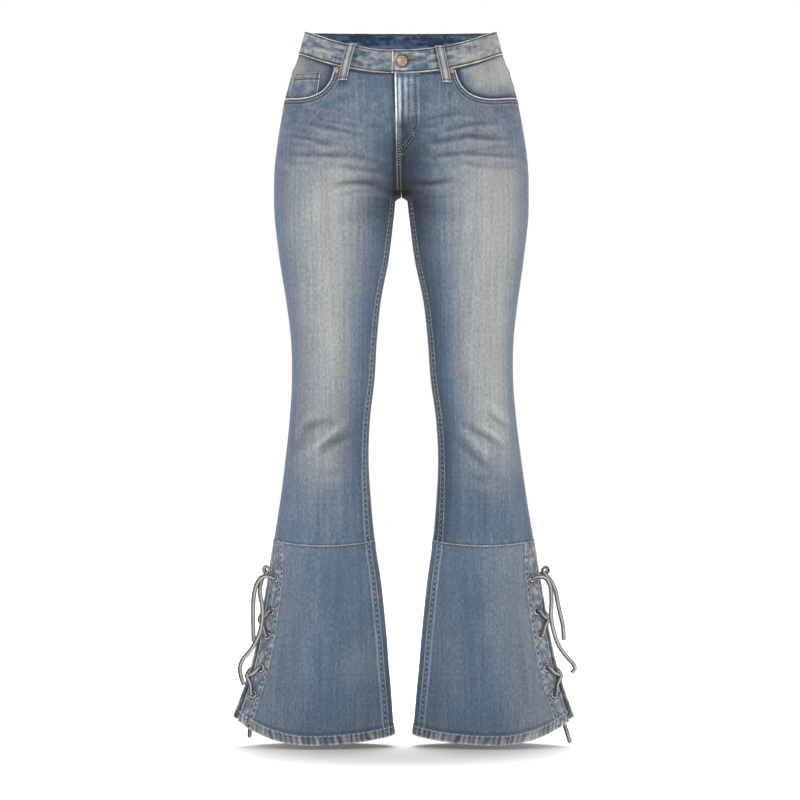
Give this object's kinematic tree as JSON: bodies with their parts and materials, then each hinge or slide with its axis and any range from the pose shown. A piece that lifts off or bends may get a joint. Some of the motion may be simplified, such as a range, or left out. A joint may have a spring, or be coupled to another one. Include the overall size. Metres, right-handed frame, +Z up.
{
  "type": "flared jeans",
  "caption": "Denim jeans in worn, hollow form: bell-bottom lower panels with side vents laced through metal eyelets, five-pocket top, buttoned waistband with belt loops.",
  "frame": {"origin": "middle of the waist opening, level with the top of the waistband at the hips, where a wearer or a display form holds the jeans up", "axes": "+Z up out of the waist, the front faces -Y, +X to the viewer's right when the front is seen"},
  "size_m": [0.5138, 0.2368, 1.0756],
  "materials": {
    "denim": "stonewashed twill, faded on the thighs and knees",
    "denim_trim": "doubled stonewashed twill with worn edges",
    "lace_cord": "soft round cord",
    "aged_copper": "aged copper, satin",
    "old_metal": "antique nickel-brass, satin",
    "zip": "closed zip on cotton tape"
  },
  "bodies": {
    "root": {"back_panel_left": "denim", "back_panel_right": "denim", "back_pocket_left": "denim", "back_pocket_right": "denim", "belt_loop_back_left": "denim_trim", "belt_loop_back_middle": "denim_trim", "belt_loop_back_right": "denim_trim", "belt_loop_front_left": "denim_trim", "belt_loop_front_right": "denim_trim", "coin_pocket": "denim", "eyelet_back_left_1": "old_metal", "eyelet_back_left_2": "old_metal", "eyelet_back_left_3": "old_metal", "eyelet_back_left_4": "old_metal", "eyelet_back_left_5": "old_metal", "eyelet_back_right_1": "old_metal", "eyelet_back_right_2": "old_metal", "eyelet_back_right_3": "old_metal", "eyelet_back_right_4": "old_metal", "eyelet_back_right_5": "old_metal", "eyelet_front_left_1": "old_metal", "eyelet_front_left_2": "old_metal", "eyelet_front_left_3": "old_metal", "eyelet_front_left_4": "old_metal", "eyelet_front_left_5": "old_metal", "eyelet_front_right_1": "old_metal", "eyelet_front_right_2": "old_metal", "eyelet_front_right_3": "old_metal", "eyelet_front_right_4": "old_metal", "eyelet_front_right_5": "old_metal", "flare_back_left": "denim", "flare_back_right": "denim", "flare_front_left": "denim", "flare_front_right": "denim", "fly_placket": "denim", "fly_zip": "zip", "front_panel_left": "denim", "front_panel_right": "denim", "lace_back_left": "lace_cord", "lace_back_right": "lace_cord", "lace_front_left": "lace_cord", "lace_front_right": "lace_cord", "pocket_facing_left": "denim", "pocket_facing_right": "denim", "rivet_left": "aged_copper", "rivet_right": "aged_copper", "vent_band_back_left": "denim_trim", "vent_band_back_right": "denim_trim", "vent_band_front_left": "denim_trim", "vent_band_front_right": "denim_trim", "waist_button": "aged_copper", "waistband": "denim_trim", "yoke_left": "denim", "yoke_right": "denim"}
  },
  "joints": []
}
